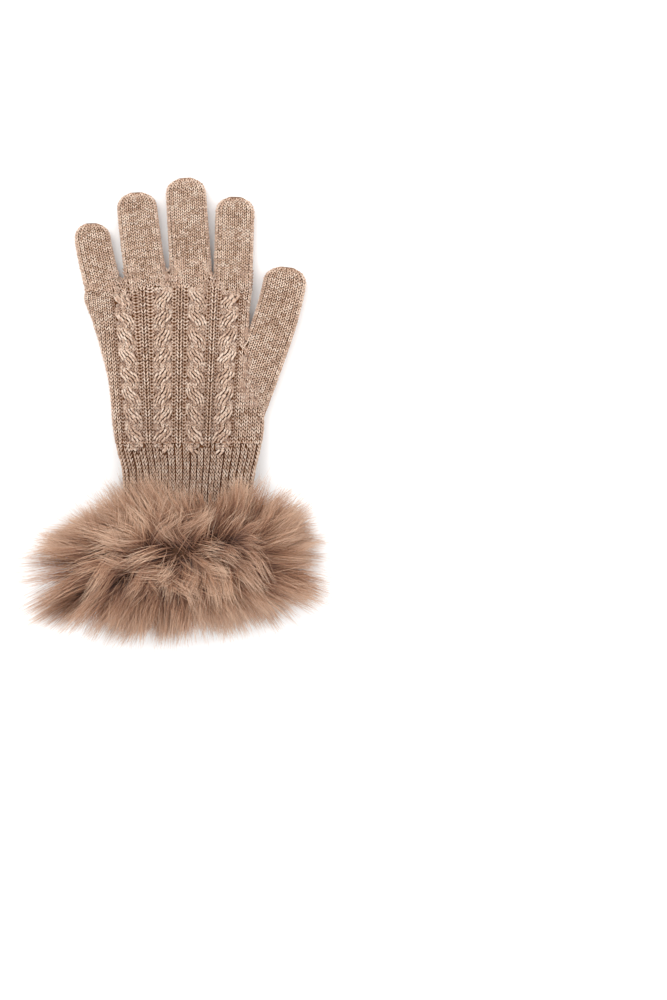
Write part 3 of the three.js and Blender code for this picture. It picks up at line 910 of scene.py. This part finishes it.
# Where the wrist's ribs take over from the hand's knit: lower under the cables, and a little unevenly
wristEdge = {"along": -22, "dip": 4.5, "dipWidth": 4.6, "uneven": 1.4, "wave": 1.27}


def wristLine(x):
    fromCable = np.min([np.abs(x - cableCentre(i, wristKnit["start"])) for i in range(4)], axis=0)
    dip = wristEdge["dip"] * np.exp(-(fromCable / wristEdge["dipWidth"]) ** 2)
    return wristEdge["along"] - dip + wristEdge["uneven"] * np.sin(x / wristEdge["wave"] + 1)


# Stitches that close the knit at each crotch and along the gusset, wherever the others leave room
fillers = {"crotches": [-29.8, -2.8, 23.9], "reach": 9.0, "gusset": (39.0, 54.0), "step": 0.9, "halfWidth": 1.25,
           "deep": 0.33, "gussetPaintedShade": 0.5, "besidePanel": 0.8}


def fillerField():
    field = StitchField()
    xs = [x + d for x in fillers["crotches"] for d in np.arange(-fillers["reach"], fillers["reach"], fillers["step"])]
    for x in xs + list(np.arange(*fillers["gusset"], fillers["step"])):
        lines = [backLine(handPlaces * 0 + x + side * fillers["halfWidth"]) for side in (-1, 0, 1)]
        # painted shade darkens the fillers, more along the gusset
        deep = fillers["deep"] if x < fillers["gusset"][0] else fillers["gussetPaintedShade"]
        field.column(*lines, deep=deep)
        field.column(*halfOn(*lines), deep=deep)

    def allowed(places):
        x, along = places[:, 0], places[:, 1]
        pastPanel = x > cableCentre(3, along) + cables["margin"] + fillers["besidePanel"]
        return (along > knuckleLine(x)) | (pastPanel & (along > 0))
    field.keepOnly(allowed)
    return field


handBack, handPalm = plainFields()
handRibs, handPurl = StitchField(), StitchField()
ribsAndGrooves(handRibs, handPurl)
handBars, handCables = StitchField(), StitchField()
cableColumns(handBars, handCables)
for field in (handRibs, handPurl, handBars, handCables):
    field.keepBelow(knuckleLine)
for field in (handBack, handPalm, handRibs, handPurl, handBars, handCables):
    field.keepAbove(wristLine)
handSolids = ["hand", "ribbed_wrist"]
stitchPiece("hand_back_stitches", handBack, knitNodes, {"Seed": 11}, room=1.35, apart=1.0)
stitchPiece("hand_palm_stitches", handPalm, knitNodes, {"Seed": 12}, room=1.35, apart=1.0)
stitchPiece("hand_rib_stitches", handRibs, handSolids, {"Seed": 17, "Foot": 0.08, "Waist": 0.28})
fillerStitch = {"Seed": 16, "Yarn Radius": 0.215}
stitchPiece("hand_filler_stitches", fillerField(), knitNodes, fillerStitch, room=0.95, apart=1.35)
stitchPiece("hand_cable_stitches", handCables, handSolids, {"Seed": 14, "Waist": 0.28, "Yarn Radius": 0.27})
barStitch = {"Foot": 0.1, "Shoulder": 0.2, "Waist": 0.18, "Foot Height": -0.68, "Shoulder Height": 0.68,
             "Yarn Radius": 0.35, "Crest": 0.16, "Seed": 15}
stitchPiece("hand_bar_stitches", handBars, handSolids, barStitch)
purlStitch = {"Foot": 0.0, "Shoulder": 0.5, "Foot Height": -0.26, "Shoulder Height": 0.3, "Waist": 0.24,
              "Crest": 0.14, "Yarn Radius": 0.18, "Seed": 13}
stitchPiece("hand_purl_stitches", handPurl, handSolids, purlStitch)


# The ribs' middles, as shares of the way round
def ribMiddles():
    ring = ringOf(wristSection(wristKnit["start"]))
    marks = [aroundAt(ring, cableCentre(i, wristKnit["start"])) / ring[1][-1] for i in range(4)]
    middles = [np.linspace(0, marks[0], round(marks[0] * wristKnit["ribs"]), endpoint=False)]
    for low, high in zip(marks, marks[1:]):
        middles.append(np.linspace(low, high, wristKnit["toCable"], endpoint=False))
    middles.append(np.linspace(marks[3], 1, round((1 - marks[3]) * wristKnit["ribs"]), endpoint=False))
    return np.concatenate(middles)


def wristFields():
    ribs, valleys = StitchField(), StitchField()
    end = wristKnit["start"] + wristKnit["coursesOver"] * wristKnit["course"]
    places = np.arange(wristShape["along"][0] + wristKnit["firstCourse"], end, wristKnit["course"])
    rings = [ringOf(wristSection(place)) for place in places]

    def columnAt(field, share, width, **settings):
        shares = [(share + d * width) % 1 for d in (-0.5, 0, 0.5)]
        field.column(*[lineOver(rings, lengthsOf(rings) * s) for s in shares], **settings)

    middles = ribMiddles()
    for middle, after in zip(middles, np.append(middles[1:], 1)):
        pitch = after - middle
        width = wristKnit["columnShare"] * pitch
        for side in (-1, 1):
            columnAt(ribs, middle + side * wristKnit["column"] * pitch, width, lift=wristKnit["ribLift"])
        columnAt(valleys, middle + pitch / 2, wristKnit["valleyShare"] * pitch, **wristKnit["valley"])
    low, high = wristKnit["hidden"]
    ribs.keepOnly(lambda places: (places[:, 1] < low) | (places[:, 1] > high))
    valleys.keepOnly(lambda places: places[:, 1] > high)
    ribs.keepBelow(wristLine, wristKnit["ribsOver"])
    valleys.keepBelow(wristLine, wristKnit["valleysOver"])
    print(len(middles), "ribs round the wrist")
    return ribs, valleys


wristRibs, wristValleys = wristFields()
ribStitch = {"Foot": 0.03, "Shoulder": 0.42, "Waist": 0.18, "Yarn Radius": 0.175, "Seed": 21}
stitchPiece("wrist_rib_stitches", wristRibs, handSolids, ribStitch, room=1.3)
stitchPiece("wrist_valley_stitches", wristValleys, handSolids, {**purlStitch, "Seed": 22})

# The yarn that joins the fingers to the hand and the hand to its wrist, sunk in the cloth all the way round
seamYarn = {"thick": 1.0, "inset": 0.35, "stops": 84, "fingerEnd": -0.15}


def seamTree():
    tree, given = newTree("seams", {"Radius": 0.0005})
    line = result(tree, "GeometryNodeMeshToCurve", {"Mesh": given["Geometry"]})
    return finished(tree, given, tubeAlong(tree, line, given["Radius"], sides=6, caps=False))


# Points evenly round a section
def roundRing(ring, stops):
    return onRing(ring, ring[1][-1] * np.arange(stops) / stops)


def seamPiece():
    stops = seamYarn["stops"]
    sections = [(fingerSection(finger, seamYarn["fingerEnd"]), False) for finger in fingers.values()]
    sections.append((handSection(handKnit["wristEnd"]), True))
    places, edges = [], []
    for section, relief in sections:
        start = len(places)
        places += list(roundRing(ringOf(section, relief=relief, grow=-seamYarn["inset"]), stops) - gloveMiddle)
        edges += [(start + i, start + (i + 1) % stops) for i in range(stops)]
    mesh = bpy.data.meshes.new("seams")
    mesh.from_pydata([tuple(place * mm) for place in places], edges, [])
    piece = grownPiece("seam_yarn", mesh, seamTree(), {"Radius": seamYarn["thick"] / 2 * mm, "Material": seamGround})
    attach(piece, "root")


seamPiece()
print("knit made")

# The fur cuff

furCuff = {
    "stripMiddle": -86.0, "stripHalfWidth": 12.5, "segment": (-27.0, 41.0), "seed": 5, "rootsOut": 0.8, "rootStep": 2.5,
    # how far the hair reaches from the strip's middle line, by the way that it points: towards the thumb's side,
    # then round by the fingers, the little finger's side and the cuff
    "reach": {
        "angle": [0, 20, 40, 65, 90, 115, 140, 158, 175, 187, 200, 214, 225, 236, 252, 270, 292, 318, 337, 350, 360],
        "far": [52, 50, 46, 45, 48, 48, 41, 42, 58, 69, 77, 76, 71, 64, 58, 54, 52, 58, 62, 55, 52]},
    "locks": 340, "strands": 44, "crownLocks": 64, "width": 0.18, "fineHair": 12300, "fineWidth": 0.14,
    "tufts": {"middle": -4.5, "spacing": 47.0, "more": 0.13}, "topHeight": 50.0, "edgeHeight": 12.0,
    "lowest": (-104, -154, 0.3), "highest": (104, 0, 58),
    # where the coat parts, painted shade darkens the strands over it, and where a lock or a side of it is
    # lighter or darker: place, radius and change
    "shading": [
        (-36, -105, 9, -0.6), (-20, -104, 8, -0.4), (5, -82, 8, -0.2), (41, -78, 9, -0.55), (14, -101, 8, -0.3),
        (26, -90, 7, 0.35), (-36, -72, 10, 0.2), (-68, -104, 26, -0.25), (-10, -128, 26, -0.12)],
}


def strandTree():
    tree, given = newTree("furStrands", {"Points": 4, "Width": 0.0002, "Tip Share": 0.2})
    line = result(tree, "GeometryNodeCurvePrimitiveLine", {"End": (0.0, 0.0, 1.0)})
    line = result(tree, "GeometryNodeResampleCurve", {"Curve": line, "Count": given["Points"]})
    placed = result(tree, "GeometryNodeInstanceOnPoints", {"Points": given["Geometry"], "Instance": line})
    real = result(tree, "GeometryNodeRealizeInstances", {0: placed})
    along = result(tree, "GeometryNodeSplineParameter", output="Factor")
    root, bend, tip = (readBack(tree, name) for name in ("root", "bend", "tip"))
    lower, upper = mixed(tree, along, root, bend, "VECTOR"), mixed(tree, along, bend, tip, "VECTOR")
    place = mixed(tree, along, lower, upper, "VECTOR")
    bent = result(tree, "GeometryNodeSetPosition", {"Geometry": real, "Position": place})
    taper = mapped(tree, along, 0.5, 1.0, 1.0, given["Tip Share"])
    radius = calculated(tree, "MULTIPLY", taper, given["Width"])
    return finished(tree, given, tubeAlong(tree, stored(tree, bent, "tipward", along), radius))


furStrands = strandTree()


# Roots on the wrist's surface, with the way out of it. around runs from 0 to 1 and across from -1 to 1.
def furRoots(around, across):
    places, runs = [], []
    for a, b in zip(around, across):
        section = wristSection(furCuff["stripMiddle"] + b * furCuff["stripHalfWidth"])
        ring = ringOf(section, grow=furCuff["rootsOut"])
        total = ring[1][-1]
        before, here, after = (onRing(ring, (a * total + side * furCuff["rootStep"]) % total) for side in (-1, 0, 1))
        places.append(here)
        runs.append(after - before)
    runs = np.array(runs)
    return np.array(places), unit(np.stack([-runs[:, 2], 0 * runs[:, 1], runs[:, 0]], -1))


# Smooth noise over places, with lumps of a size
def flowNoise(places, size, seed):
    return np.array([noise.noise(Vector(place) / size + Vector((seed, 0, 0))) for place in places])


def signedPower(values, power):
    return np.sign(values) * np.abs(values) ** power


furFlow = {
    "aside": 0.95, "fan": 0.75, "fanPower": 2.2, "wander": 0.5, "wanderSize": 14.0, "risePower": 0.4, "domePower": 2.5,
    "top": 0.3, "sideRise": 16, "sideDrop": 4, "sideLeast": 5, "underneath": 3.0,
    "bend": 0.42, "bendOut": 9.0, "bendUp": 0.4, "bendLimits": (0.1, 1.2),
}


# Where hair from each root goes: its bend and its tip. share is how much of the full reach it has. stray turns it.
def furReach(roots, outward, across, share, stray):
    low, high = furCuff["segment"]
    middle = (low + high) / 2
    fan = (roots[:, 0] - middle) / (high - low) * 2
    side = outward[:, 0] * furFlow["aside"] + signedPower(fan, furFlow["fanPower"]) * furFlow["fan"]
    rise = across + furFlow["wander"] * flowNoise(roots, furFlow["wanderSize"], seed=9)
    heading = np.arctan2(signedPower(rise, furFlow["risePower"]), side) + stray
    way = np.stack([np.cos(heading), np.sin(heading), 0 * heading], -1)
    far = np.interp(np.degrees(heading) % 360, furCuff["reach"]["angle"], furCuff["reach"]["far"]) * share
    # over the wrist it reaches up in tufts
    tuft = np.cos((roots[:, 0] - furCuff["tufts"]["middle"]) / furCuff["tufts"]["spacing"] * 2 * math.pi)
    far *= 1 + furCuff["tufts"]["more"] * tuft * np.maximum(np.sin(heading), 0) ** 2
    start = np.stack([np.clip(roots[:, 0], low, high), 0 * far + furCuff["stripMiddle"], roots[:, 2]], -1)
    tip = start + way * far[:, None]
    # hair on top falls over in a dome, hair at the sides stands out and hair underneath is pressed flat
    upward = outward[:, 2]
    fall = (furCuff["topHeight"] - furCuff["edgeHeight"]) * np.clip(share, 0, 1) ** furFlow["domePower"]
    sideways = np.maximum(roots[:, 2] + furFlow["sideRise"] * upward - furFlow["sideDrop"], furFlow["sideLeast"])
    tip[:, 2] = np.where(upward > -furFlow["top"], sideways, furFlow["underneath"])
    tip[:, 2] = np.where(upward > furFlow["top"], furCuff["topHeight"] - fall, tip[:, 2])
    out = furFlow["bendOut"] * np.clip(furFlow["bendUp"] + upward, *furFlow["bendLimits"])
    bend = roots + (tip - roots) * furFlow["bend"] + outward * out[:, None]
    return bend, tip, way


# The crown's are short locks that stand up along the strip's middle and fall every way.
furLock = {
    "share": (0.8, 1.02), "crownAround": (0.32, 0.68), "crownAcross": (-0.6, 0.6), "crownShare": (0.34, 0.72),
    "turn": 52, "turnSize": 16.0, "stray": 7, "crownStray": (-1.4, 1.4), "curl": 2.5, "crownCurl": 6, "bendCurl": 0.7,
    "uneven": 2.5,
}


def furLocks(rng):
    count, crownCount = furCuff["locks"], furCuff["crownLocks"]
    golden = (math.sqrt(5) - 1) / 2  # spreads them evenly round the wrist
    around = (np.arange(count) * golden) % 1
    across = np.clip(2 * rng.permutation((np.arange(count) + 0.5) / count) - 1, -1, 1)
    share = rng.uniform(*furLock["share"], count)
    around, across, share = (
        np.concatenate([values, rng.uniform(*furLock[limits], crownCount)])
        for values, limits in ((around, "crownAround"), (across, "crownAcross"), (share, "crownShare")))
    roots, outward = furRoots(around, across)
    total = count + crownCount
    crown = np.arange(total) >= count
    turn = np.radians(furLock["turn"]) * flowNoise(roots, furLock["turnSize"], seed=3)
    stray = turn + np.radians(furLock["stray"]) * rng.normal(0, 1, total)
    stray = np.where(crown, rng.uniform(*furLock["crownStray"], total), stray)
    bend, tip, way = furReach(roots, outward, across, share, stray)
    curl = rng.normal(0, furLock["curl"], total)
    curl += crown * rng.choice([-furLock["crownCurl"], furLock["crownCurl"]], total)
    sideways = curl[:, None] * np.stack([-way[:, 1], way[:, 0], 0 * share], -1)
    tip += sideways
    bend -= furLock["bendCurl"] * sideways
    tip[:, 2] += rng.normal(0, furLock["uneven"], total)
    return roots, outward, bend, tip


furHair = {
    "length": (0.66, 1.03), "lengthPower": 0.8, "patch": 4.2, "bendGather": 0.7, "bendUneven": 0.9, "tipGather": 0.5,
    "tipUneven": 1.8, "crownLighter": 0.4, "lockShade": 0.4, "hairShade": (0, 0.6),
}
fineHair = {
    "length": (0.55, 1.08), "root": 5, "bend": 3, "tip": (3.5, 3.5, 2), "farthest": 2, "shade": (0.25, 1),
}


def furArrays():
    rng = np.random.default_rng(furCuff["seed"])
    roots, outward, bend, tip = furLocks(rng)

    # the same hairs as the locks that are picked, at their share of the length
    def hairsOf(pick, length):
        start = roots[pick]
        return start.copy(), start + (bend[pick] - start) * length, start + (tip[pick] - start) * length

    pick = np.repeat(np.arange(len(roots)), furCuff["strands"])
    n = len(pick)
    spread = rng.normal(0, 1, (n, 3)) * furHair["patch"]
    tipSpread = beside(spread, unit((tip - bend)[pick]))
    root, bendAt, tipAt = hairsOf(pick, rng.uniform(*furHair["length"], n)[:, None] ** furHair["lengthPower"])
    root += beside(spread, outward[pick])
    bendAt += furHair["bendGather"] * tipSpread
    bendAt += rng.normal(0, furHair["bendUneven"], (n, 3))
    tipAt += furHair["tipGather"] * tipSpread
    tipAt += rng.normal(0, furHair["tipUneven"], (n, 3))
    lockShade = rng.uniform(0, 1, len(roots))
    lockShade[furCuff["locks"]:] += furHair["crownLighter"]
    shade = lockShade[pick] * furHair["lockShade"] + rng.uniform(*furHair["hairShade"], n)
    for x, along, radius, change in furCuff["shading"]:
        away = np.hypot(*((bendAt + tipAt) / 2 - (x, along, 0))[:, :2].T)
        shade += change * np.exp(-(away / radius) ** 2)
    locks = (root, bendAt, tipAt, np.clip(shade, 0, 1))

    # fine single hairs that stray over the locks, each near one of them
    fine = furCuff["fineHair"]
    pick = rng.integers(0, furCuff["locks"], fine)
    stray = rng.normal(0, 1, (fine, 3))
    root, bendAt, tipAt = hairsOf(pick, rng.uniform(*fineHair["length"], fine)[:, None])
    root += beside(stray, outward[pick]) * fineHair["root"]
    bendAt += stray * fineHair["bend"]
    tipAt += np.clip(rng.normal(0, 1, (fine, 3)), -fineHair["farthest"], fineHair["farthest"]) * fineHair["tip"]
    loose = (root, bendAt, tipAt, rng.uniform(*fineHair["shade"], fine))
    for points in (*locks[:3], *loose[:3]):
        points[:] = np.clip(points, furCuff["lowest"], furCuff["highest"])
    return locks, loose


def furPiece(name, hairs, points, width):
    *lines, shade = hairs
    vectors = {label: (values - gloveMiddle) * mm for label, values in zip(("root", "bend", "tip"), lines)}
    mesh = pointsMesh(name, vectors["root"], {**vectors, "shade": shade})
    piece = grownPiece(name, mesh, furStrands, {"Points": points, "Width": width * mm, "Material": guardHair})
    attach(piece, "root")
    printCount(piece, len(shade), "strands")


def furPieces():
    locks, fine = furArrays()
    for k in range(2):
        furPiece(f"fur_strands_{k + 1}", [values[k::2] for values in locks], 4, furCuff["width"])
    furPiece("fur_fine_hair", fine, 3, furCuff["fineWidth"])


furPieces()

# The underfur: a soft closed ring round the wrist that the guard hair grows through
underfurShape = {
    "along": [-13, -18, -19, -15, -5, 5, 14, 18, 17, 13], "out": [1.2, 4, 7, 10, 12, 12, 10, 7, 4, 1.2],
    "rise": 0.6, "stops": 96, "lump": 1.4, "fullLump": 8, "wave": 0.9, "lowest": 0.05,
}


def underfurPiece():
    stops, corners = underfurShape["stops"], []
    for along, out in zip(underfurShape["along"], underfurShape["out"]):
        section = wristSection(furCuff["stripMiddle"] + along)
        section["halfWidth"] += out
        section["height"] += out * (1 + underfurShape["rise"])
        section["lift"] -= out
        points = roundRing(ringOf(section), stops)
        lump, wave = underfurShape["lump"] * min(out / underfurShape["fullLump"], 1), underfurShape["wave"]
        points[:, 0] += lump * np.sin(points[:, 1] * wave + np.arange(stops) * wave)
        points[:, 2] = np.maximum(points[:, 2], underfurShape["lowest"])
        corners.append(points)
    faces = []
    for k in range(len(corners)):
        here, there = k * stops, (k + 1) % len(corners) * stops
        faces += [(here + i, here + (i + 1) % stops, there + (i + 1) % stops, there + i) for i in range(stops)]
    mesh = bpy.data.meshes.new("fur_underfur")
    mesh.from_pydata(((np.concatenate(corners) - gloveMiddle) * mm).tolist(), [], faces)
    mesh.materials.append(underfur)
    mesh.polygons.foreach_set("use_smooth", [True] * len(faces))
    piece = newObject("fur_underfur", mesh)
    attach(piece, "root")
    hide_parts("fur_cuff")


underfurPiece()
print("fur made")

# Floor and studio light
floorShape = {"reach": 4.0, "under": -0.0011}  # the palm's stitches stand that far out of its cloth
floorMesh = bpy.data.meshes.new("floor")
corners = [(x * floorShape["reach"], y * floorShape["reach"], floorShape["under"])
           for x, y in ((-1, -1), (1, -1), (1, 1), (-1, 1))]
floorMesh.from_pydata(corners, [], [(0, 1, 2, 3)])
floor = newObject("floor", floorMesh)
paper = bpy.data.materials.new("whiteSeamlessPaper")
paper.use_nodes = True
paperShader = paper.node_tree.nodes["Principled BSDF"]
paperShader.inputs["Base Color"].default_value = linearColour("#fbfbfb")
paperShader.inputs["Roughness"].default_value = 0.9
floorMesh.materials.append(paper)

lights = {
    "key": {"place": (-0.8, 1.0, 1.8), "size": 1.3, "power": 18},
    "fill": {"place": (1.3, -0.4, 1.6), "size": 1.8, "power": 9},
}
for name, light in lights.items():
    data = bpy.data.lights.new(name, "AREA")
    data.size = light["size"]
    data.energy = light["power"]
    lamp = newObject(name, data)
    lamp.location = light["place"]
    lamp.rotation_euler = (-Vector(light["place"])).to_track_quat("-Z", "Y").to_euler()
world = bpy.data.worlds.new("studio")
world.use_nodes = True
background = world.node_tree.nodes["Background"].inputs
background["Color"].default_value = (1, 1, 1, 1)
background["Strength"].default_value = 1.18
bpy.context.scene.world = world


print("stage set")
